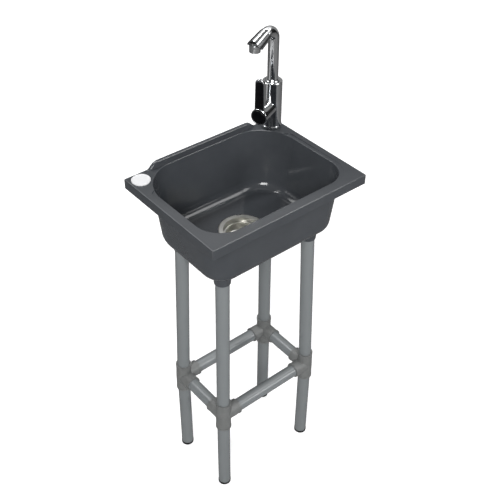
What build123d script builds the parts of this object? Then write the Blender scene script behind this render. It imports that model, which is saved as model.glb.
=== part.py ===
from build123d import *
from math import cos, radians, sin
import os

# Utility laundry sink, millimetres. Origin on the floor under the middle of the rim,
# +X to the user's right, +Y to the back, +Z up.

# --- basin -------------------------------------------------------------------
rim_length = 420.0
rim_depth = 315.0
rim_height = 880.0
fascia_height = 23.0
wall = 4.0
rim_corner_radius = 2.5
rim_edge_radius = 2.0
side_deck_width = 24.0
front_deck_width = 24.5
back_deck_width = 10.5
bowl_front_radius = 62.0
bowl_back_radius = 95.0
bowl_depth = 150.0
bowl_draft = 6.8
bowl_floor_radius = 26.0
bowl_lip_radius = 1.8
ledge_side_inset = 14.5
ledge_front_inset = 16.5
ledge_shoulder_inset = 83.5
ledge_back_inset = 20.5
ledge_back_side_inset = 110.0
ledge_front_radius = 64.0
ledge_corner_radius = 10.0
ledge_drop = 2.4
ridge_height = 15.5
ridge_foot_length = 320.0
ridge_top_length = 248.0
ridge_thickness = 9.5
ridge_edge_radius = 2.6
ridge_root = 1.5

# --- deck holes ---------------------------------------------------------------
hole_side_inset = 26.0
hole_back_inset = 27.5
hole_diameter = 28.0

# --- leg frame -----------------------------------------------------------------
pipe_diameter = 32.0
pipe_wall = 2.4
socket_length = 251.4
socket_depth = 150.4
frame_length = 273.0
frame_depth = 168.0
brace_height = 272.0
socket_drop = 28.0
socket_mouth_diameter = 37.5
socket_root_diameter = 43.0
socket_rib = 4.0
socket_rib_reach = 8.0
pipe_fit = 0.15
end_gap = 0.3

# --- corner fittings and feet --------------------------------------------------
fitting_diameter = 38.0
fitting_arm = 43.0
fitting_lip_diameter = 39.6
fitting_lip_length = 4.0
fitting_stop = 17.0
fitting_bore = 26.0
foot_flange_thickness = 7.0
foot_flange_diameter = 33.0
foot_plug_length = 18.0
foot_chamfer = 1.25
foot_fit = 0.1

# --- drain ----------------------------------------------------------------------
drain_y = 12.0
drain_hole_diameter = 92.0
flange_diameter = 110.0
flange_thickness = 1.6
flange_seat_depth = 2.4
drain_pad_diameter = 126.0
drain_pad_drop = 3.0
cup_diameter = 88.0
cup_wall = 1.6
cup_depth = 42.0
cup_floor_radius = 8.0
outlet_diameter = 47.8
outlet_length = 24.0
top_seal_thickness = 1.2
seal_thickness = 2.4
slip_washer_thickness = 1.6
locknut_diameter = 108.0
locknut_height = 14.0
locknut_lugs = 6
basket_diameter = 78.0
basket_depth = 26.0
basket_wall = 1.0
basket_rim_diameter = 83.0
basket_holes = 12
basket_hole_diameter = 5.0
basket_inner_row = 26.0
basket_outer_row = 48.0
stopper_diameter = 50.0
stopper_thickness = 3.0
knob_diameter = 17.0
knob_height = 9.0
stem_diameter = 5.0
ledge_in_cup = 12.0
ledge_step = 2.0

# --- tap -------------------------------------------------------------------------
spout_heading = 190.7
branch_heading = 203.0
tap_body_diameter = 46.0
tap_body_height = 116.0
tap_base_diameter = 48.4
tap_base_height = 6.0
tap_gasket_thickness = 1.6
branch_height = 55.0
branch_root_diameter = 34.0
branch_diameter = 38.0
branch_reach = 58.6
tap_bore = 30.0
branch_bore = 25.0
shoulder_height = 5.5
collar_skirt = 9.0
spout_diameter = 25.4
spout_wall = 1.8
spout_rise = 221.0
spout_bend_radius = 20.0
spout_droop = 24.0
spout_straight = 3.0
spout_tail = 40.0
head_start_diameter = 29.6
head_far_diameter = 37.4
head_sleeve_diameter = 27.6
head_sleeve_length = 4.5
head_length = 60.0
head_wall = 1.8
head_underside_angle = 37.0
head_underside_reach = 39.0
head_mouth_reach = 45.0
head_boss_diameter = 24.0
head_boss_roof = 1.2
head_port_diameter = 12.0
head_port_length = 33.0
collar_edge = 1.2
collar_ring_diameter = 34.0
o_ring_section = 2.2
o_ring_seat_radius = 12.7
aerator_diameter = 26.0
aerator_reach = 34.0
aerator_drop = 26.5
aerator_skirt = 16.5
aerator_thread_diameter = 20.0
aerator_thread_length = 4.5
aerator_bore = 19.0
aerator_facets = 12
aerator_inset = 1.0
aerator_insert_thickness = 3.0
aerator_hole = 1.6
aerator_hole_pitch = 3.2
aerator_hole_rows = 4
shank_diameter = 20.955
fixing_thread_diameter = 22.4
fixing_thread_spare = 1.0
shank_length = 46.0
shank_seat = 14.0
shank_chamfer = 1.2
shank_bore = 13.0
backnut_across = 32.0
backnut_height = 8.0
tap_washer_thickness = 2.0
tap_washer_diameter = 38.0

# --- tap handle --------------------------------------------------------------------
hub_diameter = 40.0
hub_length = 9.0
hub_gap = 0.4
lever_width = 22.0
lever_root_width = 24.0
lever_thickness = 6.0
lever_length = 93.0
inlay_width = 18.5
inlay_start = 21.0
inlay_end = 87.5
inlay_depth = 1.6
cap_diameter = 33.0
cap_recess = 3.4
cap_dome = 1.6
hub_rim_proud = 1.6
hub_rim_round = 1.4
lever_top_radius = 9.0
lever_edge_radius = 1.2
inlay_top_radius = 7.0
spindle_diameter = 8.0
screw_head_diameter = 9.0
screw_diameter = 4.0
screw_length = 6.0
screw_head_height = 2.2
screw_socket = 2.6
spindle_reach = 4.0
spindle_grip = 12.0
bonnet_length = 6.0
branch_bottom_reach = 27.0

# --- cover over the spare hole -------------------------------------------------------
cover_diameter = 42.0
cover_thickness = 2.6
cover_rim = 3.0
cover_rim_rise = 0.7
cover_stem_diameter = 20.0
cover_stem_length = 22.0
cover_nut_diameter = 36.0
cover_nut_height = 6.0

running_fit = 0.06
thread_fit = 0.12

# --- places worked out from the sizes -------------------------------------------------
deck_z = rim_height
deck_underside = rim_height - wall
floor_top = rim_height - bowl_depth
floor_under = floor_top - wall
socket_mouth_z = floor_under - socket_drop
bowl_length = rim_length - 2 * side_deck_width
bowl_front_y = front_deck_width - rim_depth / 2
bowl_back_y = rim_depth / 2 - back_deck_width
bowl_middle_y = (bowl_front_y + bowl_back_y) / 2
bowl_width_y = bowl_back_y - bowl_front_y
ledge_length = rim_length - 2 * ledge_side_inset
ledge_back_length = rim_length - 2 * ledge_back_side_inset
ledge_front_y = ledge_front_inset - rim_depth / 2
ledge_shoulder_y = rim_depth / 2 - ledge_shoulder_inset
ledge_back_y = rim_depth / 2 - ledge_back_inset
spout_way = Vector(cos(radians(spout_heading)), sin(radians(spout_heading)), 0)
branch_way = Vector(cos(radians(branch_heading)), sin(radians(branch_heading)), 0)
hole_y = rim_depth / 2 - hole_back_inset
tap_x = rim_length / 2 - hole_side_inset
pad_under = floor_under - drain_pad_drop
flange_seat_z = floor_top - flange_seat_depth
ridge_top = deck_z + ridge_height
ridge_bottom = deck_z - ridge_root
flange_top = flange_seat_z + top_seal_thickness + flange_thickness
CORNERS = {"front_left": (-1, -1), "front_right": (1, -1), "back_left": (-1, 1), "back_right": (1, 1)}

os.makedirs("parts", exist_ok=True)


def save(built, label):
    """Labels one finished piece and writes it."""
    built.part.label = label
    export_step(built.part, f"parts/{label}.step")


def bowl_outline(grow):
    """The bowl's opening, grown all round, with larger corners at the back."""
    with BuildSketch() as outline:
        with Locations((0, bowl_middle_y)):
            Rectangle(bowl_length + 2 * grow, bowl_width_y + 2 * grow)
        fillet(outline.vertices().group_by(Axis.Y)[0], bowl_front_radius + grow)
        fillet(outline.vertices().group_by(Axis.Y)[-1], bowl_back_radius + grow)
    return outline.sketch


def ledge_outline():
    """The shallow ledge round the opening, cut across its two back corners."""
    half = ledge_length / 2
    back_half = ledge_back_length / 2
    with BuildSketch() as outline:
        with BuildLine():
            Polyline(
                (-half, ledge_front_y),
                (half, ledge_front_y),
                (half, ledge_shoulder_y),
                (back_half, ledge_back_y),
                (-back_half, ledge_back_y),
                (-half, ledge_shoulder_y),
                close=True,
            )
        make_face()
        fillet(outline.vertices().group_by(Axis.Y)[0], ledge_front_radius)
        fillet(outline.vertices().group_by(Axis.Y)[-2], ledge_corner_radius)
    return outline.sketch


def leg_point(corner, height):
    """Where a leg's axis stands at a height: upright below the braces, leaning in above them."""
    side, end = CORNERS[corner]
    lean = max(0.0, (height - brace_height) / (socket_mouth_z - brace_height))
    x = frame_length / 2 + (socket_length - frame_length) / 2 * lean
    y = frame_depth / 2 + (socket_depth - frame_depth) / 2 * lean
    return Vector(side * x, end * y, height)


def leg_plane(corner, height):
    """A plane square to a leaning upper leg, facing up along it."""
    start = leg_point(corner, brace_height)
    along = (leg_point(corner, socket_mouth_z) - start).normalized()
    return Plane(origin=start + along * ((height - brace_height) / along.Z), z_dir=along)


def tap_plane(height):
    """A level plane on the tap's axis, its X towards the spout."""
    return Plane(origin=(tap_x, hole_y, height), x_dir=spout_way, z_dir=(0, 0, 1))


def hub_origin():
    """The point on the tap's axis where the side branch starts."""
    return Vector(tap_x, hole_y, deck_z + branch_height)


def branch_plane(reach):
    """A plane square to the tap's side branch, facing outwards, its Y upwards."""
    origin = hub_origin() + branch_way * reach
    return Plane(origin=origin, x_dir=(-branch_way.Y, branch_way.X, 0), z_dir=branch_way)


def turned(outline_points, plane_origin, label):
    """A turned piece: a closed profile of radius and height, spun about an upright axis."""
    with BuildPart() as piece:
        with BuildSketch(Plane(origin=plane_origin, x_dir=(1, 0, 0), z_dir=(0, -1, 0))):
            with BuildLine():
                Polyline(*outline_points, close=True)
            make_face()
        revolve(axis=Axis(plane_origin, (0, 0, 1)))
    save(piece, label)


def above_deck(edge):
    """True for an edge that rises above the deck."""
    return edge.bounding_box().max.Z > deck_z + ridge_edge_radius


def on_lip(edge):
    """True for an edge of the bowl's opening."""
    span = edge.bounding_box()
    inside = span.max.X < bowl_length / 2 + wall / 4 and span.min.X > -bowl_length / 2 - wall / 4
    inside = inside and span.min.Y > bowl_front_y - wall / 4 and span.max.Y < bowl_back_y + wall / 4
    return inside and span.min.Z > deck_z - ledge_drop - end_gap and edge.length > rim_corner_radius


# --- basin: one moulded shell -----------------------------------------------------------
opening = bowl_outline(0)
shell = bowl_outline(wall)
ledge = ledge_outline()
ledge_slope = Vector(0, ledge_drop, ledge_back_y - ledge_front_y)
ledge_plane = Plane(origin=(0, ledge_front_y, deck_z), x_dir=(1, 0, 0), z_dir=ledge_slope)

with BuildPart() as bowl_shell:
    with BuildSketch(Plane.XY.offset(deck_underside)):
        add(shell)
    extrude(amount=-bowl_depth, taper=bowl_draft)
    fillet(bowl_shell.faces().sort_by(Axis.Z)[0].edges(), bowl_floor_radius + wall)

with BuildPart() as bowl_inside:
    with BuildSketch(Plane.XY.offset(deck_z)):
        add(opening)
    extrude(amount=-bowl_depth, taper=bowl_draft)
    fillet(bowl_inside.faces().sort_by(Axis.Z)[0].edges(), bowl_floor_radius)

with BuildPart() as upstand:
    with BuildSketch(Plane.XZ.offset(-rim_depth / 2)):
        with BuildLine():
            Spline(
                (-ridge_foot_length / 2, ridge_bottom),
                (-ridge_top_length / 2, ridge_top),
                tangents=((1, 0), (1, 0)),
            )
            Line((-ridge_top_length / 2, ridge_top), (ridge_top_length / 2, ridge_top))
            Spline(
                (ridge_top_length / 2, ridge_top),
                (ridge_foot_length / 2, ridge_bottom),
                tangents=((1, 0), (1, 0)),
            )
            Line((ridge_foot_length / 2, ridge_bottom), (-ridge_foot_length / 2, ridge_bottom))
        make_face()
    extrude(amount=ridge_thickness)
    fillet(upstand.edges().filter_by(Axis.Y, reverse=True).filter_by(above_deck), ridge_edge_radius)

with BuildPart() as basin:
    with BuildSketch(Plane.XY.offset(deck_z - fascia_height)):
        Rectangle(rim_length, rim_depth)
    extrude(amount=fascia_height)
    fillet(basin.edges().filter_by(Axis.Z), rim_corner_radius)
    fillet(basin.faces().sort_by(Axis.Z)[-1].edges(), rim_edge_radius)
    with BuildSketch(Plane.XY.offset(deck_z - fascia_height)):
        Rectangle(rim_length - 2 * wall, rim_depth - 2 * wall)
    extrude(amount=fascia_height - wall, mode=Mode.SUBTRACT)
    add(bowl_shell.part)
    for corner in CORNERS:
        root = leg_plane(corner, floor_under + wall / 2)
        mouth = leg_plane(corner, socket_mouth_z)
        with BuildSketch(root):
            Circle(socket_root_diameter / 2)
        with BuildSketch(mouth):
            Circle(socket_mouth_diameter / 2)
        loft()
        centre = leg_point(corner, floor_under)
        rib_half = socket_root_diameter / 2 + socket_rib_reach
        with BuildSketch(Plane(origin=(centre.X, centre.Y, 0), x_dir=(1, 0, 0), z_dir=(0, -1, 0))):
            with BuildLine():
                Polyline(
                    (-rib_half, floor_under + wall / 2),
                    (rib_half, floor_under + wall / 2),
                    (rib_half, floor_under),
                    (0, socket_mouth_z + end_gap),
                    (-rib_half, floor_under),
                    close=True,
                )
            make_face()
        extrude(amount=socket_rib / 2, both=True)
    with BuildSketch(Plane.XY.offset(floor_under)):
        with Locations((0, drain_y)):
            Circle(drain_pad_diameter / 2)
    extrude(amount=-drain_pad_drop)
    add(bowl_inside.part, mode=Mode.SUBTRACT)
    with BuildSketch(ledge_plane):
        with Locations((0, -ledge_front_y)):
            add(ledge)
    extrude(amount=ledge_drop * 2, mode=Mode.SUBTRACT)
    for corner in CORNERS:
        with BuildSketch(leg_plane(corner, socket_mouth_z)):
            Circle(pipe_diameter / 2 + pipe_fit)
        extrude(amount=socket_drop - wall / 2, mode=Mode.SUBTRACT)
    fillet(basin.edges().filter_by(on_lip), bowl_lip_radius)
    add(upstand.part)
    with BuildSketch(Plane.XY.offset(floor_top)):
        with Locations((0, drain_y)):
            Circle(flange_diameter / 2 + end_gap)
    extrude(amount=-flange_seat_depth, mode=Mode.SUBTRACT)
    with BuildSketch(Plane.XY.offset(floor_top)):
        with Locations((0, drain_y)):
            Circle(drain_hole_diameter / 2)
    extrude(amount=-bowl_depth / 4, mode=Mode.SUBTRACT)
    with BuildSketch(Plane.XY.offset(deck_z)):
        with Locations((-tap_x, hole_y), (tap_x, hole_y)):
            Circle(hole_diameter / 2)
    extrude(amount=-fascia_height, mode=Mode.SUBTRACT)
save(basin, "basin")


# --- legs: an upper and a lower pipe at each corner ---------------------------------------
def pipe(plane, length, label):
    """A straight cut of pipe that starts on a plane and runs along its normal."""
    with BuildPart() as cut:
        with BuildSketch(plane):
            Circle(pipe_diameter / 2)
            Circle(pipe_diameter / 2 - pipe_wall, mode=Mode.SUBTRACT)
        extrude(amount=length)
    save(cut, label)


def corner_fitting(corner):
    """A four-way corner: two upright sockets in line with the leg and two level ones for the braces."""
    side, end = CORNERS[corner]
    centre = leg_point(corner, brace_height)
    lean = leg_plane(corner, brace_height).z_dir
    arms = [lean, Vector(0, 0, -1), Vector(-side, 0, 0), Vector(0, -end, 0)]
    with BuildPart() as fitting:
        for arm in arms:
            with BuildSketch(Plane(origin=centre, z_dir=arm)):
                Circle(fitting_diameter / 2)
            extrude(amount=fitting_arm)
            with BuildSketch(Plane(origin=centre + arm * (fitting_arm - fitting_lip_length), z_dir=arm)):
                Circle(fitting_lip_diameter / 2)
            extrude(amount=fitting_lip_length)
        for arm in arms:
            with BuildSketch(Plane(origin=centre, z_dir=arm)):
                Circle(fitting_bore / 2)
            extrude(amount=fitting_arm, mode=Mode.SUBTRACT)
            with BuildSketch(Plane(origin=centre + arm * fitting_stop, z_dir=arm)):
                Circle(pipe_diameter / 2 + pipe_fit)
            extrude(amount=fitting_arm, mode=Mode.SUBTRACT)
    save(fitting, f"corner_fitting_{corner}")


def foot_plug(corner):
    """A rubber plug pushed into the end of a leg, its flange on the floor."""
    stem_radius = pipe_diameter / 2 - pipe_wall - foot_fit
    ground = leg_point(corner, 0)
    with BuildPart() as plug:
        with BuildSketch(Plane(origin=ground, z_dir=(0, 0, 1))):
            Circle(foot_flange_diameter / 2)
        extrude(amount=foot_flange_thickness)
        with BuildSketch(Plane(origin=ground, z_dir=(0, 0, 1))):
            Circle(stem_radius)
        extrude(amount=foot_flange_thickness + foot_plug_length)
        chamfer(plug.edges().sort_by(Axis.Z)[-1], foot_chamfer)
        with BuildSketch(Plane(origin=ground + Vector(0, 0, foot_flange_thickness), z_dir=(0, 0, 1))):
            Circle(stem_radius - pipe_wall)
        extrude(amount=foot_plug_length, mode=Mode.SUBTRACT)
    save(plug, f"foot_plug_{corner}")


for corner in CORNERS:
    corner_fitting(corner)
    foot_plug(corner)
    lower_top = brace_height - fitting_stop - end_gap
    foot_end = leg_point(corner, foot_flange_thickness)
    pipe(Plane(origin=foot_end, z_dir=(0, 0, 1)), lower_top - foot_flange_thickness, f"lower_leg_{corner}")
    lean_plane = leg_plane(corner, brace_height)
    start_origin = lean_plane.origin + lean_plane.z_dir * (fitting_stop + end_gap)
    upper_start = Plane(origin=start_origin, z_dir=lean_plane.z_dir)
    upper_end = leg_plane(corner, floor_under - wall / 2 - end_gap)
    pipe(upper_start, (upper_end.origin - upper_start.origin).length, f"upper_leg_{corner}")

# --- braces: four level pipes in the corner fittings -----------------------------------------
brace_inset = fitting_stop + end_gap
for name, end in (("front", -1), ("back", 1)):
    start = Vector(-frame_length / 2 + brace_inset, end * frame_depth / 2, brace_height)
    pipe(Plane(origin=start, z_dir=(1, 0, 0)), frame_length - 2 * brace_inset, f"long_brace_{name}")
for name, side in (("left", -1), ("right", 1)):
    start = Vector(side * frame_length / 2, -frame_depth / 2 + brace_inset, brace_height)
    pipe(Plane(origin=start, z_dir=(0, 1, 0)), frame_depth - 2 * brace_inset, f"short_brace_{name}")

# --- drain: strainer body, seals, locknut and lift-out basket ------------------------------------
drain = Vector(0, drain_y, 0)
cup_radius = cup_diameter / 2
cup_floor_z = flange_top - cup_depth
neck_radius = outlet_diameter / 2
ledge_z = flange_top - ledge_in_cup
neck_end_z = cup_floor_z - outlet_length
neck_bore = neck_radius - cup_wall - ledge_step
lower_seal_z = pad_under - seal_thickness
nut_top_z = lower_seal_z - slip_washer_thickness

turned(
    (
        (neck_bore, neck_end_z),
        (neck_radius, neck_end_z),
        (neck_radius, cup_floor_z - cup_wall),
        (cup_radius - cup_floor_radius, cup_floor_z - cup_wall),
        (cup_radius, cup_floor_z + cup_floor_radius - cup_wall),
        (cup_radius, flange_top - flange_thickness),
        (flange_diameter / 2, flange_top - flange_thickness),
        (flange_diameter / 2, flange_top - flange_thickness / 2),
        (flange_diameter / 2 - ledge_step, flange_top),
        (cup_radius - cup_wall / 2, flange_top),
        (cup_radius - cup_wall, ledge_z),
        (cup_radius - cup_wall - ledge_step, ledge_z),
        (cup_radius - cup_wall - ledge_step, cup_floor_z + cup_floor_radius),
        (cup_radius - cup_wall - cup_floor_radius, cup_floor_z),
        (neck_bore, cup_floor_z),
    ),
    drain,
    "strainer_body",
)
turned(
    (
        (drain_hole_diameter / 2, flange_seat_z),
        (flange_diameter / 2, flange_seat_z),
        (flange_diameter / 2, flange_top - flange_thickness),
        (drain_hole_diameter / 2, flange_top - flange_thickness),
    ),
    drain,
    "strainer_top_seal",
)
turned(
    (
        (cup_radius + end_gap, lower_seal_z),
        (locknut_diameter / 2 - ledge_step, lower_seal_z),
        (locknut_diameter / 2 - ledge_step, pad_under),
        (cup_radius + end_gap, pad_under),
    ),
    drain,
    "strainer_lower_seal",
)
turned(
    (
        (cup_radius + end_gap, nut_top_z),
        (locknut_diameter / 2 - ledge_step, nut_top_z),
        (locknut_diameter / 2 - ledge_step, lower_seal_z),
        (cup_radius + end_gap, lower_seal_z),
    ),
    drain,
    "strainer_slip_washer",
)

with BuildPart() as strainer_locknut:
    with BuildSketch(Plane.XY.offset(nut_top_z)):
        with Locations((0, drain_y)):
            Circle(locknut_diameter / 2 - ledge_step)
            with PolarLocations(locknut_diameter / 2 - ledge_step, locknut_lugs):
                RectangleRounded(locknut_height, locknut_height, ledge_step)
    extrude(amount=-locknut_height)
    with BuildSketch(Plane.XY.offset(nut_top_z)):
        with Locations((0, drain_y)):
            Circle(cup_radius + thread_fit)
    extrude(amount=-locknut_height, mode=Mode.SUBTRACT)
save(strainer_locknut, "strainer_locknut")

basket_rim_z = ledge_z + end_gap
basket_floor_z = basket_rim_z - basket_depth
basket_radius = basket_diameter / 2
with BuildPart() as strainer_basket:
    with BuildSketch(Plane(origin=drain, x_dir=(1, 0, 0), z_dir=(0, -1, 0))):
        with BuildLine():
            Polyline(
                (stem_diameter / 2 + running_fit, basket_floor_z),
                (basket_radius / 2, basket_floor_z),
                (basket_radius - ledge_step, basket_floor_z + basket_depth / 3),
                (basket_radius, basket_rim_z),
                (basket_rim_diameter / 2, basket_rim_z),
                (basket_rim_diameter / 2, basket_rim_z + basket_wall),
                (basket_radius - basket_wall, basket_rim_z + basket_wall),
                (basket_radius - ledge_step - basket_wall, basket_floor_z + basket_depth / 3 + basket_wall),
                (basket_radius / 2 - basket_wall, basket_floor_z + basket_wall),
                (stem_diameter / 2 + running_fit, basket_floor_z + basket_wall),
                close=True,
            )
        make_face()
    revolve(axis=Axis(drain, (0, 0, 1)))
    with BuildSketch(Plane.XY.offset(basket_floor_z - basket_wall)):
        with Locations((0, drain_y)):
            for ring_radius in (basket_inner_row / 2, basket_outer_row / 2):
                with PolarLocations(ring_radius, basket_holes):
                    Circle(basket_hole_diameter / 2)
    extrude(amount=basket_depth / 2, mode=Mode.SUBTRACT)
save(strainer_basket, "strainer_basket")

stem_radius = stem_diameter / 2
turned(
    (
        (0, basket_floor_z - stopper_thickness * 2),
        (stem_radius * 2, basket_floor_z - stopper_thickness * 2),
        (stem_radius * 2, basket_floor_z - stopper_thickness - end_gap),
        (stem_radius, basket_floor_z - stopper_thickness - end_gap),
        (stem_radius, basket_rim_z),
        (knob_diameter / 2 - ledge_step, basket_rim_z),
        (knob_diameter / 2, basket_rim_z + ledge_step),
        (knob_diameter / 2, basket_rim_z + knob_height - ledge_step),
        (knob_diameter / 2 - ledge_step, basket_rim_z + knob_height),
        (0, basket_rim_z + knob_height),
    ),
    drain,
    "basket_knob",
)
turned(
    (
        (stem_radius + running_fit, basket_floor_z - stopper_thickness),
        (stopper_diameter / 2, basket_floor_z - stopper_thickness),
        (stopper_diameter / 2 - ledge_step, basket_floor_z - end_gap),
        (stem_radius + running_fit, basket_floor_z - end_gap),
    ),
    drain,
    "basket_stopper",
)

# --- cover over the spare tap hole ------------------------------------------------------------
spare = Vector(-tap_x, hole_y, 0)
cover_radius = cover_diameter / 2
cover_stem_radius = cover_stem_diameter / 2
turned(
    (
        (0, deck_z - cover_stem_length),
        (cover_stem_radius, deck_z - cover_stem_length),
        (cover_stem_radius, deck_z),
        (cover_radius, deck_z),
        (cover_radius, deck_z + cover_thickness),
        (cover_radius - cover_rim_rise, deck_z + cover_thickness + cover_rim_rise),
        (cover_radius - cover_rim, deck_z + cover_thickness + cover_rim_rise),
        (cover_radius - cover_rim - cover_rim_rise, deck_z + cover_thickness),
        (0, deck_z + cover_thickness),
    ),
    spare,
    "spare_hole_cover",
)
turned(
    (
        (cover_stem_radius + thread_fit, deck_underside - cover_nut_height),
        (cover_nut_diameter / 2, deck_underside - cover_nut_height),
        (cover_nut_diameter / 2, deck_underside),
        (cover_stem_radius + thread_fit, deck_underside),
    ),
    spare,
    "spare_hole_nut",
)


# --- tap body, with its base, shank and the nut under the deck -------------------------------------
shoulder_z = deck_z + tap_body_height
collar_top_z = shoulder_z + shoulder_height
body_radius = tap_body_diameter / 2
base_z = deck_z + tap_gasket_thickness
tap_foot = Vector(tap_x, hole_y, 0)
spout_radius = spout_diameter / 2
spout_foot_z = shoulder_z - spout_tail
rubber_washer_z = deck_underside - tap_washer_thickness
steel_washer_z = rubber_washer_z - tap_washer_thickness
fixing_thread_end = steel_washer_z - backnut_height - fixing_thread_spare
shank_end = base_z - shank_length

with BuildPart() as tap_body:
    with BuildSketch(tap_plane(base_z)):
        Circle(tap_base_diameter / 2)
    extrude(amount=tap_base_height)
    chamfer(tap_body.edges().sort_by(Axis.Z)[-1], (tap_base_diameter - tap_body_diameter) / 2)
    with BuildSketch(tap_plane(base_z)):
        Circle(body_radius)
    extrude(amount=shoulder_z - base_z)
    with BuildSketch(branch_plane(0)):
        Circle(branch_root_diameter / 2)
    with BuildSketch(branch_plane(branch_reach)):
        Circle(branch_diameter / 2)
    loft()
    with BuildSketch(tap_plane(spout_foot_z - end_gap)):
        Circle(tap_bore / 2)
    extrude(amount=shoulder_z - spout_foot_z + end_gap, mode=Mode.SUBTRACT)
    with BuildSketch(branch_plane(branch_bottom_reach)):
        Circle(branch_bore / 2)
    extrude(amount=branch_reach, mode=Mode.SUBTRACT)
    with BuildSketch(branch_plane(0)):
        Circle(shank_bore / 2)
    extrude(amount=branch_reach, mode=Mode.SUBTRACT)
    with BuildSketch(tap_plane(base_z)):
        Circle(fixing_thread_diameter / 2)
    extrude(amount=shank_seat, mode=Mode.SUBTRACT)
    with BuildSketch(tap_plane(base_z)):
        Circle(shank_bore / 2)
    extrude(amount=shoulder_z - base_z, mode=Mode.SUBTRACT)
save(tap_body, "tap_body")

with BuildPart() as tap_shank:
    with BuildSketch(tap_plane(shank_end)):
        Circle(shank_diameter / 2)
    extrude(amount=fixing_thread_end - shank_end)
    with BuildSketch(tap_plane(fixing_thread_end)):
        Circle(fixing_thread_diameter / 2)
    extrude(amount=base_z + shank_seat - fixing_thread_end)
    with BuildSketch(tap_plane(shank_end)):
        Circle(shank_bore / 2)
    extrude(amount=base_z + shank_seat - shank_end, mode=Mode.SUBTRACT)
    chamfer(tap_shank.edges().group_by(Axis.Z)[0], shank_chamfer)
save(tap_shank, "tap_inlet_shank")


def ring(outer_diameter, inner_diameter, bottom_z, height, label):
    """A plain flat ring round the tap's axis."""
    with BuildPart() as washer:
        with BuildSketch(tap_plane(bottom_z)):
            Circle(outer_diameter / 2)
            Circle(inner_diameter / 2, mode=Mode.SUBTRACT)
        extrude(amount=height)
    save(washer, label)


shank_hole = fixing_thread_diameter + 2 * thread_fit
ring(tap_base_diameter - tap_gasket_thickness, shank_hole, deck_z, tap_gasket_thickness, "tap_base_gasket")
ring(tap_washer_diameter, shank_hole, rubber_washer_z, tap_washer_thickness, "tap_rubber_washer")
ring(tap_washer_diameter, shank_hole, steel_washer_z, tap_washer_thickness, "tap_steel_washer")

with BuildPart() as tap_backnut:
    with BuildSketch(tap_plane(steel_washer_z)):
        RegularPolygon(backnut_across / 2, 6, major_radius=False)
        Circle(shank_hole / 2, mode=Mode.SUBTRACT)
    extrude(amount=-backnut_height)
save(tap_backnut, "tap_backnut")

# --- valve cartridge in the branch ---------------------------------------------------------------
cartridge_radius = branch_bore / 2 - running_fit
cartridge_face = branch_reach - bonnet_length
with BuildPart() as valve_cartridge:
    with BuildSketch(branch_plane(branch_bottom_reach + end_gap)):
        Circle(cartridge_radius)
    extrude(amount=cartridge_face - branch_bottom_reach - end_gap)
    with BuildSketch(branch_plane(cartridge_face - spindle_grip)):
        Circle(spindle_diameter / 2 + running_fit)
    extrude(amount=spindle_grip, mode=Mode.SUBTRACT)
    with BuildSketch(branch_plane(0)):
        with Locations((0, -cartridge_radius / 2), (0, cartridge_radius / 2)):
            Circle(spindle_diameter / 4)
    extrude(amount=cartridge_face - spindle_grip - end_gap, mode=Mode.SUBTRACT)
save(valve_cartridge, "valve_cartridge")

with BuildPart() as cartridge_nut:
    with BuildSketch(branch_plane(cartridge_face)):
        Circle(cartridge_radius)
        Circle(spindle_diameter / 2 + end_gap, mode=Mode.SUBTRACT)
    extrude(amount=bonnet_length)
save(cartridge_nut, "cartridge_nut")

with BuildPart() as valve_spindle:
    with BuildSketch(branch_plane(cartridge_face - spindle_grip + end_gap)):
        Circle(spindle_diameter / 2)
    extrude(amount=spindle_grip - end_gap + bonnet_length + spindle_reach)
    with BuildSketch(branch_plane(branch_reach + spindle_reach)):
        Circle(screw_diameter / 2)
    extrude(amount=-screw_length, mode=Mode.SUBTRACT)
save(valve_spindle, "valve_spindle")

# --- lever handle ------------------------------------------------------------------------------------
def lever_outline(root_width, top_width, low, high, top_radius):
    """The lever seen from its face: tapered sides and rounded top corners."""
    with BuildSketch() as outline:
        with BuildLine():
            Polyline(
                (-root_width / 2, low),
                (root_width / 2, low),
                (top_width / 2, high),
                (-top_width / 2, high),
                close=True,
            )
        make_face()
        fillet(outline.vertices().group_by(Axis.Y)[-1], top_radius)
    return outline.sketch


hub_start = branch_reach + hub_gap
hub_face = hub_start + hub_length
recess_floor = hub_face - cap_recess
lever_face = hub_face - hub_rim_proud
spindle_end = branch_reach + spindle_reach
lever_shape = lever_outline(lever_root_width, lever_width, 0, lever_length, lever_top_radius)
inlay_shape = lever_outline(inlay_width, inlay_width, inlay_start, inlay_end, inlay_top_radius)

with BuildPart() as lever_handle:
    with BuildSketch(branch_plane(lever_face - lever_thickness)):
        add(lever_shape)
    extrude(amount=lever_thickness)
    fillet(lever_handle.faces().sort_by(Axis(hub_origin(), branch_way))[-1].edges(), lever_edge_radius)
    with BuildSketch(branch_plane(hub_start)):
        Circle(hub_diameter / 2)
    extrude(amount=hub_length)
    with BuildSketch(branch_plane(recess_floor)):
        Circle(cap_diameter / 2 + running_fit)
    extrude(amount=cap_recess, mode=Mode.SUBTRACT)
    fillet(lever_handle.faces().sort_by(Axis(hub_origin(), branch_way))[-1].edges(), hub_rim_round)
    with BuildSketch(branch_plane(hub_start)):
        Circle(spindle_diameter / 2 + running_fit)
    extrude(amount=spindle_end - hub_start + end_gap, mode=Mode.SUBTRACT)
    with BuildSketch(branch_plane(hub_start)):
        Circle(screw_diameter / 2 + thread_fit)
    extrude(amount=hub_length, mode=Mode.SUBTRACT)
    with BuildSketch(branch_plane(lever_face - inlay_depth)):
        add(inlay_shape)
    extrude(amount=lever_thickness, mode=Mode.SUBTRACT)
save(lever_handle, "lever_handle")

with BuildPart() as lever_inlay:
    with BuildSketch(branch_plane(lever_face - inlay_depth)):
        add(inlay_shape)
    extrude(amount=inlay_depth)
save(lever_inlay, "lever_inlay")

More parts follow.
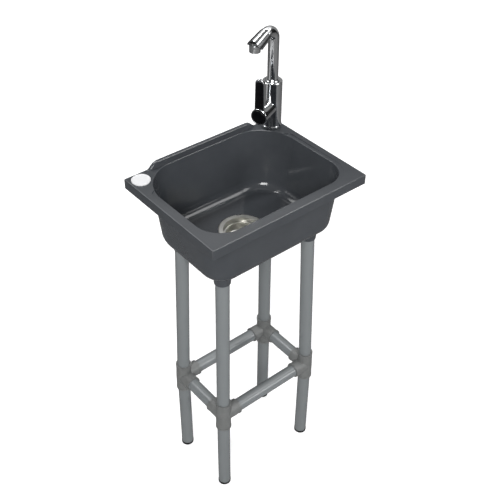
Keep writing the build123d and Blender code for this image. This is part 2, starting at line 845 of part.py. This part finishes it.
with BuildPart() as handle_screw:
    with BuildSketch(branch_plane(recess_floor)):
        Circle(screw_head_diameter / 2)
    extrude(amount=screw_head_height)
    with BuildSketch(branch_plane(recess_floor)):
        Circle(screw_diameter / 2)
    extrude(amount=-screw_length)
    with BuildSketch(branch_plane(recess_floor + screw_head_height)):
        RegularPolygon(screw_socket / 2, 6)
    extrude(amount=-screw_head_height / 2, mode=Mode.SUBTRACT)
save(handle_screw, "handle_screw")

with BuildPart() as handle_cap:
    with BuildSketch(branch_plane(recess_floor)):
        Circle(cap_diameter / 2)
    extrude(amount=cap_recess + cap_dome)
    fillet(handle_cap.faces().sort_by(Axis(hub_origin(), branch_way))[-1].edges(), cap_dome)
    with BuildSketch(branch_plane(recess_floor)):
        Circle(screw_head_diameter / 2 + end_gap)
    extrude(amount=screw_head_height + end_gap, mode=Mode.SUBTRACT)
save(handle_cap, "handle_cap")

# --- swivelling spout, its seals and the collar that holds it down --------------------------------------
spout_plane = Plane(origin=tap_foot, x_dir=spout_way, z_dir=spout_way.cross(Vector(0, 0, 1)))
bend_start_z = deck_z + spout_rise
bush_top_z = shoulder_z - collar_skirt - end_gap
bush_radius = tap_bore / 2 - running_fit
bush_step = (bush_top_z - spout_foot_z) / 3

with BuildPart() as tap_spout:
    with BuildLine(spout_plane) as spout_path:
        rise = Line((0, spout_foot_z), (0, bend_start_z))
        bend = JernArc(rise @ 1, (0, 1), spout_bend_radius, -(90 + spout_droop))
        Line(bend @ 1, bend @ 1 + (bend % 1) * spout_straight)
    with BuildSketch(tap_plane(spout_foot_z)):
        Circle(spout_radius)
    sweep(path=spout_path.wires()[0])
    with BuildSketch(tap_plane(spout_foot_z)):
        Circle(bush_radius)
    extrude(amount=bush_top_z - spout_foot_z)
    for turn in (1, 2):
        with BuildSketch(tap_plane(spout_foot_z + turn * bush_step - o_ring_section / 2 - end_gap)):
            Circle(tap_bore)
            Circle(o_ring_seat_radius, mode=Mode.SUBTRACT)
        extrude(amount=o_ring_section + 2 * end_gap, mode=Mode.SUBTRACT)
    with BuildSketch(tap_plane(spout_foot_z)):
        Circle(spout_radius - spout_wall)
    sweep(path=spout_path.wires()[0], mode=Mode.SUBTRACT)
save(tap_spout, "tap_spout")

with BuildPart() as spout_o_rings:
    for turn in (1, 2):
        seat = tap_foot + Vector(0, 0, spout_foot_z + turn * bush_step)
        with BuildSketch(Plane(origin=seat, x_dir=spout_way, z_dir=spout_way.cross(Vector(0, 0, 1)))):
            with Locations((bush_radius - o_ring_section / 2, 0)):
                Circle(o_ring_section / 2)
        revolve(axis=Axis(tap_foot, (0, 0, 1)))
save(spout_o_rings, "spout_o_rings")

with BuildPart() as spout_collar:
    with BuildSketch(spout_plane):
        with BuildLine():
            Polyline(
                (spout_radius + end_gap, shoulder_z - collar_skirt),
                (tap_bore / 2 - thread_fit, shoulder_z - collar_skirt),
                (tap_bore / 2 - thread_fit, shoulder_z),
                (body_radius, shoulder_z),
                (body_radius, shoulder_z + collar_edge),
                (body_radius - collar_edge, shoulder_z + 2 * collar_edge),
                (collar_ring_diameter / 2, shoulder_z + 2 * collar_edge),
                (collar_ring_diameter / 2, collar_top_z - collar_edge),
                (collar_ring_diameter / 2 - collar_edge, collar_top_z),
                (spout_radius + end_gap, collar_top_z),
                close=True,
            )
        make_face()
    revolve(axis=Axis(tap_foot, (0, 0, 1)))
save(spout_collar, "spout_collar")

# --- spout head with its hooded mouth, and the aerator inside --------------------------------------------
head_origin = spout_path.wires()[0] @ 1
head_axis = spout_path.wires()[0] % 1
head_top = head_axis.cross(spout_way.cross(Vector(0, 0, 1)))
head_start = Plane(origin=head_origin, x_dir=head_top, z_dir=head_axis)
head_far = Plane(origin=head_origin + head_axis * head_length, x_dir=head_top, z_dir=head_axis)
cut_angle = radians(spout_droop + head_underside_angle)
cut_normal = spout_way * cos(cut_angle) - Vector(0, 0, 1) * sin(cut_angle)
underside_cut = Plane(origin=head_origin + head_axis * head_underside_reach, z_dir=cut_normal)
mouth_cut = Plane(origin=head_origin + head_axis * head_mouth_reach, z_dir=spout_way)
aerator_axis = head_origin + spout_way * aerator_reach
aerator_z = head_origin.Z - aerator_drop
aerator_bottom = Plane(origin=(aerator_axis.X, aerator_axis.Y, aerator_z), z_dir=(0, 0, 1))


def head_shell(inset, start_inset):
    """The head's flared form, drawn in by a wall."""
    with BuildPart() as flare:
        with BuildSketch(head_start.offset(start_inset)):
            Circle(head_start_diameter / 2 - inset)
        with BuildSketch(head_far):
            Circle(head_far_diameter / 2 - inset)
        loft()
    return flare.part


head_outside = head_shell(0, 0)
head_inside = head_shell(head_wall, head_wall)

with BuildPart() as head_hollow:
    add(head_inside)
    with BuildSketch(underside_cut):
        Rectangle(2 * head_length, 2 * head_length)
    extrude(amount=head_length)
    with BuildSketch(aerator_bottom):
        Circle(aerator_diameter / 2 + end_gap)
    extrude(amount=aerator_skirt)
    with BuildSketch(aerator_bottom.offset(aerator_skirt)):
        Circle(aerator_diameter / 2)
    extrude(amount=head_length, mode=Mode.SUBTRACT)
    with BuildSketch(mouth_cut):
        Rectangle(2 * head_length, 2 * head_length)
    extrude(amount=head_length)

with BuildPart() as spout_head:
    add(head_outside)
    add(head_hollow.part, mode=Mode.SUBTRACT)
    with BuildSketch(aerator_bottom.offset(aerator_skirt)):
        Circle(head_boss_diameter / 2)
    extrude(amount=aerator_thread_length + end_gap + head_boss_roof)
    with BuildSketch(head_start.offset(-head_sleeve_length)):
        Circle(head_sleeve_diameter / 2)
    extrude(amount=head_sleeve_length)
    with BuildSketch(head_start.offset(-head_sleeve_length)):
        Circle(spout_radius + running_fit)
    extrude(amount=head_sleeve_length + end_gap, mode=Mode.SUBTRACT)
    with BuildSketch(head_start):
        Circle(head_port_diameter / 2)
    extrude(amount=head_port_length, mode=Mode.SUBTRACT)
    with BuildSketch(aerator_bottom.offset(aerator_skirt)):
        Circle(aerator_thread_diameter / 2 + thread_fit)
    extrude(amount=aerator_thread_length + end_gap, mode=Mode.SUBTRACT)
save(spout_head, "spout_head")

with BuildPart() as aerator_shell:
    with BuildSketch(aerator_bottom):
        RegularPolygon(aerator_diameter / 2, aerator_facets)
    extrude(amount=aerator_skirt)
    with BuildSketch(aerator_bottom.offset(aerator_skirt)):
        Circle(aerator_thread_diameter / 2)
    extrude(amount=aerator_thread_length)
    with BuildSketch(aerator_bottom):
        Circle(aerator_bore / 2)
    extrude(amount=aerator_skirt + aerator_thread_length, mode=Mode.SUBTRACT)
save(aerator_shell, "aerator_shell")

with BuildPart() as aerator_insert:
    with BuildSketch(aerator_bottom.offset(aerator_inset)):
        Circle(aerator_bore / 2 - running_fit)
        with GridLocations(aerator_hole_pitch, aerator_hole_pitch, aerator_hole_rows, aerator_hole_rows):
            Circle(aerator_hole / 2, mode=Mode.SUBTRACT)
    extrude(amount=aerator_insert_thickness)
save(aerator_insert, "aerator_insert")
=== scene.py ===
import math

import bpy
from mathutils import Matrix, Vector

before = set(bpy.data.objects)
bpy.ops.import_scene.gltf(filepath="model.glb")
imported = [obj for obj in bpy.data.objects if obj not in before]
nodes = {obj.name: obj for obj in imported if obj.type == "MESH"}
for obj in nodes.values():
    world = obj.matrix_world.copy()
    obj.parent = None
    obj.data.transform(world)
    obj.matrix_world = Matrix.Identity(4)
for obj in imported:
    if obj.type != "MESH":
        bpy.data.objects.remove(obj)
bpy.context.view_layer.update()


# The basin is one shell of glossy dark grey resin, moulded in one piece with its
# rim, back upstand and leg sockets. The mould leaves a faint orange-peel skin, and the
# resin is a little cloudy, so that its shade and its gloss vary slightly all over.
def start_finish(name, colour, roughness, metallic=0.0):
    finish = bpy.data.materials.new(name)
    finish.use_nodes = True
    shader = finish.node_tree.nodes["Principled BSDF"]
    shader.inputs["Base Color"].default_value = (*colour, 1.0)
    shader.inputs["Roughness"].default_value = roughness
    shader.inputs["Metallic"].default_value = metallic
    return finish, finish.node_tree, shader


def place_of(tree, centre=(0, 0, 0), stretch=(1, 1, 1)):
    place = tree.nodes.new("ShaderNodeTexCoord")
    mapping = tree.nodes.new("ShaderNodeMapping")
    mapping.vector_type = "TEXTURE"
    mapping.inputs["Location"].default_value = centre
    mapping.inputs["Scale"].default_value = stretch
    tree.links.new(place.outputs["Object"], mapping.inputs["Vector"])
    return mapping.outputs["Vector"]


def noise(tree, vector, scale, detail=3.0, rough=0.55):
    cloud = tree.nodes.new("ShaderNodeTexNoise")
    cloud.inputs["Scale"].default_value = scale
    cloud.inputs["Detail"].default_value = detail
    cloud.inputs["Roughness"].default_value = rough
    tree.links.new(vector, cloud.inputs["Vector"])
    return cloud.outputs["Fac"]


def shade_between(tree, factor, low, high, start=0.3, end=0.7):
    ramp = tree.nodes.new("ShaderNodeValToRGB")
    ramp.color_ramp.elements[0].position = start
    ramp.color_ramp.elements[0].color = (*low, 1.0)
    ramp.color_ramp.elements[1].position = end
    ramp.color_ramp.elements[1].color = (*high, 1.0)
    tree.links.new(factor, ramp.inputs["Fac"])
    return ramp.outputs["Color"]


def span_between(tree, factor, low, high, start=0.3, end=0.7):
    span = tree.nodes.new("ShaderNodeMapRange")
    span.inputs["From Min"].default_value = start
    span.inputs["From Max"].default_value = end
    span.inputs["To Min"].default_value = low
    span.inputs["To Max"].default_value = high
    tree.links.new(factor, span.inputs["Value"])
    return span.outputs["Result"]


def raise_skin(tree, shader, height, strength, distance):
    bump = tree.nodes.new("ShaderNodeBump")
    bump.inputs["Strength"].default_value = strength
    bump.inputs["Distance"].default_value = distance
    tree.links.new(height, bump.inputs["Height"])
    tree.links.new(bump.outputs["Normal"], shader.inputs["Normal"])


def paint(tree, shader, factor, low, high, start=0.3, end=0.7):
    colour = shade_between(tree, factor, low, high, start, end)
    tree.links.new(colour, shader.inputs["Base Color"])


def roughen(tree, shader, factor, low, high, start=0.3, end=0.7):
    wear = span_between(tree, factor, low, high, start, end)
    tree.links.new(wear, shader.inputs["Roughness"])


def dress(finish, *names):
    for name in names:
        for material_slot in nodes[name].material_slots:
            material_slot.link = "DATA"
            material_slot.material = finish
        if not nodes[name].material_slots:
            nodes[name].data.materials.append(finish)


resin, tree, shader = start_finish("moulded_grey_resin", (0.066, 0.071, 0.078), 0.27)
resin_place = place_of(tree)
resin_cloud = noise(tree, resin_place, 9.0, 5.0)
paint(tree, shader, resin_cloud, (0.052, 0.057, 0.064), (0.064, 0.069, 0.077))
roughen(tree, shader, noise(tree, resin_place, 34.0, 6.0, 0.65), 0.11, 0.16)
raise_skin(tree, shader, noise(tree, resin_place, 160.0, 1.0, 0.4), 0.05, 0.0004)
dress(resin, "basin")


# The spare tap hole on the left is closed by a white plastic cover with a thin raised
# rim, held under the deck by a black plastic nut on its threaded stem.
cover_plastic, tree, shader = start_finish(
    "white_cover_plastic", (0.80, 0.80, 0.81), 0.33
)
cover_place = place_of(tree)
cover_cloud = noise(tree, cover_place, 60.0, 4.0)
paint(tree, shader, cover_cloud, (0.77, 0.775, 0.785), (0.83, 0.83, 0.84))
roughen(tree, shader, noise(tree, cover_place, 180.0, 4.0), 0.28, 0.42)
raise_skin(tree, shader, noise(tree, cover_place, 900.0, 2.0), 0.15, 0.00006)
dress(cover_plastic, "spare_hole_cover")

nut_plastic, tree, shader = start_finish(
    "black_nut_plastic", (0.035, 0.036, 0.038), 0.5
)
nut_place = place_of(tree)
nut_cloud = noise(tree, nut_place, 150.0, 4.0)
paint(tree, shader, nut_cloud, (0.028, 0.029, 0.031), (0.044, 0.045, 0.048))
roughen(tree, shader, noise(tree, nut_place, 300.0, 3.0), 0.42, 0.60)
raise_skin(tree, shader, noise(tree, nut_place, 1400.0, 3.0), 0.35, 0.00008)
dress(nut_plastic, "spare_hole_nut")


# The stand is cut from extruded grey plastic pipe: four upper legs pushed into the
# sockets, four lower legs, two long braces and two short ones. Extrusion leaves faint
# streaks along each pipe, so each direction of pipe has its own run of the grain.
STREAKS_ACROSS = 260.0
STREAKS_ALONG = 5.0


def pipe_finish(name, along):
    finish, tree, shader = start_finish(name, (0.212, 0.228, 0.234), 0.30)
    stretch = [1.0 / STREAKS_ACROSS] * 3
    stretch["XYZ".index(along)] = 1.0 / STREAKS_ALONG
    streak_place = place_of(tree, stretch=stretch)
    streaks = noise(tree, streak_place, 1.0, 4.0, 0.6)
    paint(tree, shader, streaks, (0.206, 0.221, 0.227), (0.216, 0.232, 0.238), 0.2, 0.8)
    scuffs = noise(tree, place_of(tree), 12.0, 2.0, 0.5)
    roughen(tree, shader, scuffs, 0.23, 0.27, 0.2, 0.8)
    return finish


CORNERS = ("front_left", "front_right", "back_left", "back_right")
upright_pipe = pipe_finish("grey_pipe_upright", "Z")
dress(upright_pipe, *(f"upper_leg_{corner}" for corner in CORNERS))
dress(upright_pipe, *(f"lower_leg_{corner}" for corner in CORNERS))
dress(pipe_finish("grey_pipe_lengthwise", "X"), "long_brace_front", "long_brace_back")
dress(pipe_finish("grey_pipe_crosswise", "Y"), "short_brace_left", "short_brace_right")


# Each corner of the stand is a four-way fitting, moulded in a browner grey plastic
# than the pipe. It has a lip at the mouth of every socket and a fine sandy skin.
fitting_plastic, tree, shader = start_finish(
    "moulded_corner_grey", (0.175, 0.180, 0.178), 0.46
)
fitting_place = place_of(tree)
fitting_cloud = noise(tree, fitting_place, 70.0, 6.0, 0.65)
paint(tree, shader, fitting_cloud, (0.160, 0.165, 0.162), (0.190, 0.195, 0.193))
roughen(tree, shader, noise(tree, fitting_place, 140.0, 5.0), 0.38, 0.54)
raise_skin(tree, shader, noise(tree, fitting_place, 500.0, 2.0), 0.10, 0.00012)
dress(fitting_plastic, *(f"corner_fitting_{corner}" for corner in CORNERS))


# A matt black rubber plug closes the foot of each leg. It is moulded with a thick
# flange, which stands on the floor and carries the end of the pipe.
rubber, tree, shader = start_finish("black_rubber", (0.012, 0.012, 0.013), 0.80)
rubber_place = place_of(tree)
rubber_cloud = noise(tree, rubber_place, 120.0, 5.0)
paint(tree, shader, rubber_cloud, (0.008, 0.008, 0.009), (0.018, 0.018, 0.018))
roughen(tree, shader, noise(tree, rubber_place, 260.0, 4.0), 0.72, 0.90)
shader.inputs["Specular IOR Level"].default_value = 0.25
raise_skin(tree, shader, noise(tree, rubber_place, 1100.0, 3.0), 0.45, 0.00015)
dress(rubber, *(f"foot_plug_{corner}" for corner in CORNERS))


# The drain is a pressed and polished stainless strainer: flange and cup in one, with a
# lift-out basket and its knob. Spinning and polishing leave fine rings round the axis.
# Rubber seals it to the bowl, and a black plastic washer and locknut draw it down.
DRAIN_AXIS = (0.0, 0.012, 0.0)
strainer_steel, tree, shader = start_finish(
    "spun_stainless", (0.60, 0.59, 0.57), 0.24, metallic=1.0
)
spun_place = place_of(tree, centre=DRAIN_AXIS)
rings = tree.nodes.new("ShaderNodeTexWave")
rings.wave_type = "RINGS"
rings.rings_direction = "Z"
rings.inputs["Scale"].default_value = 260.0
rings.inputs["Distortion"].default_value = 0.6
rings.inputs["Detail"].default_value = 3.0
tree.links.new(spun_place, rings.inputs["Vector"])
spun_cloud = noise(tree, spun_place, 14.0, 3.0)
paint(tree, shader, spun_cloud, (0.55, 0.545, 0.51), (0.66, 0.655, 0.62))
roughen(tree, shader, spun_cloud, 0.26, 0.34)
raise_skin(tree, shader, rings.outputs["Fac"], 0.02, 0.00005)
dress(strainer_steel, "strainer_body", "strainer_basket", "basket_knob")
dress(rubber, "strainer_top_seal", "strainer_lower_seal", "basket_stopper")
dress(nut_plastic, "strainer_slip_washer", "strainer_locknut")


# The tap is brass, chrome plated: body with its side branch, collar and swivelling
# spout are polished and carry faint smears, the hooded head is satin. The aerator holds
# a pale plastic insert, and rubber rings, gasket and washer seal the tap.
chrome, tree, shader = start_finish(
    "polished_chrome", (0.78, 0.79, 0.80), 0.05, metallic=1.0
)
chrome_place = place_of(tree)
smears = noise(tree, chrome_place, 38.0, 6.0, 0.7)
paint(tree, shader, smears, (0.75, 0.76, 0.775), (0.81, 0.82, 0.83))
roughen(tree, shader, smears, 0.06, 0.14)
dress(chrome, "tap_body", "spout_collar", "tap_spout", "aerator_shell", "lever_handle")

satin_chrome, tree, shader = start_finish(
    "satin_chrome", (0.44, 0.45, 0.46), 0.15, metallic=1.0
)
satin_place = place_of(tree)
satin_cloud = noise(tree, satin_place, 60.0, 5.0, 0.6)
paint(tree, shader, satin_cloud, (0.40, 0.41, 0.42), (0.47, 0.48, 0.49))
roughen(tree, shader, satin_cloud, 0.11, 0.18)
dress(satin_chrome, "spout_head")

insert_plastic, tree, shader = start_finish(
    "aerator_insert_plastic", (0.62, 0.62, 0.61), 0.45
)
insert_place = place_of(tree)
insert_cloud = noise(tree, insert_place, 220.0, 3.0)
paint(tree, shader, insert_cloud, (0.56, 0.56, 0.55), (0.68, 0.68, 0.67))
raise_skin(tree, shader, noise(tree, insert_place, 1200.0, 2.0), 0.2, 0.00005)
dress(insert_plastic, "aerator_insert")
dress(rubber, "spout_o_rings", "tap_base_gasket", "tap_rubber_washer")


# The lever carries a glossy black inlay down its face, and a domed black cap hides the
# screw that holds it on the valve spindle.
black_gloss, tree, shader = start_finish(
    "black_gloss_inlay", (0.006, 0.006, 0.007), 0.14
)
shader.inputs["Specular IOR Level"].default_value = 0.22
gloss_place = place_of(tree)
gloss_cloud = noise(tree, gloss_place, 90.0, 4.0)
paint(tree, shader, gloss_cloud, (0.003, 0.003, 0.004), (0.007, 0.007, 0.008))
roughen(tree, shader, noise(tree, gloss_place, 160.0, 6.0, 0.7), 0.09, 0.24)
raise_skin(tree, shader, noise(tree, gloss_place, 500.0, 2.0), 0.08, 0.00005)
dress(black_gloss, "lever_inlay", "handle_cap")


# Inside the tap and under the deck: the turned brass valve, spindle, inlet shank and
# backnut, with a plated steel washer and screw. Turning leaves fine rings.
brass, tree, shader = start_finish(
    "turned_brass", (0.70, 0.52, 0.24), 0.30, metallic=1.0
)
brass_place = place_of(tree)
brass_cloud = noise(tree, brass_place, 110.0, 5.0, 0.6)
paint(tree, shader, brass_cloud, (0.62, 0.45, 0.20), (0.76, 0.58, 0.29))
roughen(tree, shader, brass_cloud, 0.22, 0.42)
turning = noise(tree, place_of(tree, stretch=(0.05, 0.05, 0.0006)), 1.0, 3.0)
raise_skin(tree, shader, turning, 0.25, 0.00008)
dress(brass, "valve_cartridge", "cartridge_nut", "valve_spindle")
dress(brass, "tap_inlet_shank", "tap_backnut")

plated_steel, tree, shader = start_finish(
    "plated_steel", (0.56, 0.57, 0.58), 0.34, metallic=1.0
)
plated_place = place_of(tree)
plated_cloud = noise(tree, plated_place, 160.0, 5.0)
paint(tree, shader, plated_cloud, (0.50, 0.51, 0.53), (0.62, 0.63, 0.64))
roughen(tree, shader, plated_cloud, 0.26, 0.44)
raise_skin(tree, shader, noise(tree, plated_place, 1000.0, 2.0), 0.15, 0.00006)
dress(plated_steel, "tap_steel_washer", "handle_screw")


# The floor is a wide pale sheet. It shows white to the camera outside the object's own
# soft shadow, and mirrors in the metal as the white it looks.
def seen_as_background(tree):
    path = tree.nodes.new("ShaderNodeLightPath")
    mirrored = tree.nodes.new("ShaderNodeMath")
    mirrored.operation = "MAXIMUM"
    tree.links.new(path.outputs["Is Glossy Ray"], mirrored.inputs[0])
    tree.links.new(path.outputs["Is Transmission Ray"], mirrored.inputs[1])
    seen = tree.nodes.new("ShaderNodeMath")
    seen.operation = "MAXIMUM"
    tree.links.new(path.outputs["Is Camera Ray"], seen.inputs[0])
    tree.links.new(mirrored.outputs[0], seen.inputs[1])
    return seen.outputs[0]


SHEET_CORNERS = ((-1, -1), (1, -1), (1, 1), (-1, 1))
ONE_FACE = [(0, 1, 2, 3)]
FLOOR_HALF = 6.0
floor_mesh = bpy.data.meshes.new("floor")
floor_corners = [(x * FLOOR_HALF, y * FLOOR_HALF, 0) for x, y in SHEET_CORNERS]
floor_mesh.from_pydata(floor_corners, [], ONE_FACE)
floor = bpy.data.objects.new("floor", floor_mesh)
bpy.context.scene.collection.objects.link(floor)
floor_paint, tree, shader = start_finish("pale_floor", (0.80, 0.80, 0.80), 0.9)
shader.inputs["Specular IOR Level"].default_value = 0.0
shader.inputs["Emission Color"].default_value = (1.0, 1.0, 1.0, 1.0)
distance = tree.nodes.new("ShaderNodeVectorMath")
distance.operation = "LENGTH"
tree.links.new(place_of(tree), distance.inputs[0])
NEAR_GLOW, FAR_GLOW = 0.56, 0.95
GLOW_START, GLOW_END = 0.6, 2.0
far_glow = span_between(
    tree, distance.outputs["Value"], NEAR_GLOW, FAR_GLOW, GLOW_START, GLOW_END
)
glow = tree.nodes.new("ShaderNodeMath")
glow.operation = "MULTIPLY"
tree.links.new(seen_as_background(tree), glow.inputs[0])
tree.links.new(far_glow, glow.inputs[1])
tree.links.new(glow.outputs[0], shader.inputs["Emission Strength"])
floor_mesh.materials.append(floor_paint)

world = bpy.data.worlds.new("studio")
bpy.context.scene.world = world
world.use_nodes = True
sky_tree = world.node_tree
sky = sky_tree.nodes["Background"]
sky.inputs["Color"].default_value = (1.0, 1.0, 1.0, 1.0)
SKY_LIGHT, SKY_SEEN = 0.22, 1.0
sky_seen = seen_as_background(sky_tree)
sky_strength = span_between(sky_tree, sky_seen, SKY_LIGHT, SKY_SEEN, start=0.0, end=1.0)
sky_tree.links.new(sky_strength, sky.inputs["Strength"])


# Dark cards and a grey cloth on the floor are seen only in reflections. They give the
# polished metal its dark edges and grey middle, as a photographer's cards do.
def level_sheet(left, right, front, back, height):
    near_edge = [(left, front, height), (right, front, height)]
    far_edge = [(right, back, height), (left, back, height)]
    return near_edge + far_edge


def facing_sheet(middle, across, rise):
    return [tuple(middle + across * x + rise * y) for x, y in SHEET_CORNERS]


def hidden_card(name, corners, coating):
    mesh = bpy.data.meshes.new(name)
    mesh.from_pydata(corners, [], ONE_FACE)
    mesh.materials.append(coating)
    card = bpy.data.objects.new(name, mesh)
    bpy.context.scene.collection.objects.link(card)
    card.visible_camera = False
    card.visible_shadow = False
    card.visible_diffuse = False


def bearing(azimuth):
    turn = math.radians(azimuth)
    return Vector((math.sin(turn), -math.cos(turn), 0))


card_paint, tree, shader = start_finish("dark_card", (0.02, 0.02, 0.02), 0.9)
shader.inputs["Specular IOR Level"].default_value = 0.0
CARD_REACH = 2.6
CARD_MIDDLE = Vector((0, 0, 1.45))
CARD_RISE = Vector((0, 0, 1.15))
CARDS = ((-95, 1.0), (-8, 0.9), (70, 1.3), (160, 1.2), (235, 1.0))
for index, (azimuth, width) in enumerate(CARDS):
    across = bearing(azimuth + 90) * width / 2
    sheet = facing_sheet(bearing(azimuth) * CARD_REACH + CARD_MIDDLE, across, CARD_RISE)
    hidden_card(f"dark_card_{index}", sheet, card_paint)

cloth_paint, tree, shader = start_finish("grey_cloth", (0.22, 0.22, 0.22), 0.9)
shader.inputs["Specular IOR Level"].default_value = 0.0
CLOTH_HALF = 3.9
CLOTH_HEIGHT = 0.002
cloth = level_sheet(-CLOTH_HALF, CLOTH_HALF, -CLOTH_HALF, CLOTH_HALF, CLOTH_HEIGHT)
hidden_card("grey_cloth_card", cloth, cloth_paint)


# A grey tent stands round the object, so the metal and the gloss of the resin mirror a
# soft grey room. It is seen only in reflections too.
def glowing(name, strength):
    finish, tree, shader = start_finish(name, (0.0, 0.0, 0.0), 1.0)
    shader.inputs["Specular IOR Level"].default_value = 0.0
    shader.inputs["Emission Color"].default_value = (1.0, 1.0, 1.0, 1.0)
    shader.inputs["Emission Strength"].default_value = strength
    return finish


tent_cloth = glowing("grey_tent", 0.26)
TENT_REACH = 4.0
TENT_HEIGHT = 4.0
TENT_RISE = Vector((0, 0, TENT_HEIGHT / 2))
TENT_STEP = 30
for index, azimuth in enumerate(range(0, 360, TENT_STEP)):
    start = bearing(azimuth) * TENT_REACH
    end = bearing(azimuth + TENT_STEP) * TENT_REACH
    sheet = facing_sheet((start + end) / 2 + TENT_RISE, (end - start) / 2, TENT_RISE)
    hidden_card(f"tent_side_{index}", sheet, tent_cloth)
roof = level_sheet(-CLOTH_HALF, CLOTH_HALF, -CLOTH_HALF, CLOTH_HALF, TENT_HEIGHT)
hidden_card("tent_roof", roof, tent_cloth)


# White panels in the tent: a large one behind on the right lights the deck, one on the
# floor lights the tap from the left, and two bright strips draw the crisp lines along
# the rim, the bowl's floor edge and the braces.
panel_paint = glowing("white_panel", 0.95)
PANEL_MIDDLE = Vector((1.088, 1.309, 3.26))
PANEL_ACROSS = Vector((1.232, -1.024, 0))
PANEL_RISE = Vector((-0.448, -0.539, 0.64))
panel = facing_sheet(PANEL_MIDDLE, PANEL_ACROSS, PANEL_RISE)
hidden_card("white_panel", panel, panel_paint)
floor_card = level_sheet(left=-2.1, right=-1.1, front=-0.4, back=0.7, height=0.004)
hidden_card("white_floor_card", floor_card, panel_paint)

strip_paint = glowing("bright_strip", 5.0)
STRIP_REACH = 3.0
STRIP_AIM = Vector((0, 0, 0.8))
STRIPS = (
    ("front_strip", (0.49, -0.31, 0.81), 0.9, 0.40),
    ("side_strip", (-0.25, 0.59, 0.75), 1.0, 0.45),
)
for name, way, half_width, half_height in STRIPS:
    ahead = Vector(way).normalized()
    across = ahead.cross(Vector((0, 0, 1))).normalized()
    rise = across.cross(ahead)
    middle = STRIP_AIM + ahead * STRIP_REACH
    strip = facing_sheet(middle, across * half_width, rise * half_height)
    hidden_card(name, strip, strip_paint)


# Three soft lamps: a large key high on the left, a fill from the right and a back lamp
# that edges the rim and the bowl's floor with light.
def soft_lamp(name, place, target, width, height, power):
    lamp = bpy.data.lights.new(name, "AREA")
    lamp.shape = "RECTANGLE"
    lamp.size = width
    lamp.size_y = height
    lamp.energy = power
    carrier = bpy.data.objects.new(name, lamp)
    carrier.location = place
    aim = (Vector(target) - Vector(place)).to_track_quat("-Z", "Y")
    carrier.rotation_euler = aim.to_euler()
    bpy.context.scene.collection.objects.link(carrier)


soft_lamp("key_lamp", (-1.9, -1.8, 2.5), (0, 0, 0.6), width=1.2, height=1.2, power=76)
soft_lamp("fill_lamp", (1.4, -2.3, 1.7), (0, 0, 0.5), width=0.8, height=0.8, power=22)
soft_lamp("back_lamp", (0.30, 0.95, 3.0), (0, 0, 0.8), width=1.5, height=0.22, power=26)


# The camera looks down from the left of the front, as the photograph does. Its lens,
# place and turn are those that fit the rim, the legs and the tap in the picture.
SENSOR_WIDTH = 36.0
FOCAL_LENGTH = 59.51
CAMERA_PLACE = (-0.93929628, -1.14402036, 1.89205182)
lens = bpy.data.cameras.new("camera")
lens.sensor_width = SENSOR_WIDTH
lens.lens = FOCAL_LENGTH
camera = bpy.data.objects.new("camera", lens)
view_right = Vector((0.77244695, -0.63502757, 0.00810533))
view_up = Vector((0.39840664, 0.4944815, 0.77250255))
view_back = Vector((-0.49456836, -0.59348802, 0.63495993))
turn = Matrix((view_right, view_up, view_back)).transposed().to_4x4()
camera.matrix_world = Matrix.Translation(CAMERA_PLACE) @ turn
bpy.context.scene.collection.objects.link(camera)
bpy.context.scene.camera = camera
bpy.context.scene.view_settings.view_transform = "Standard"
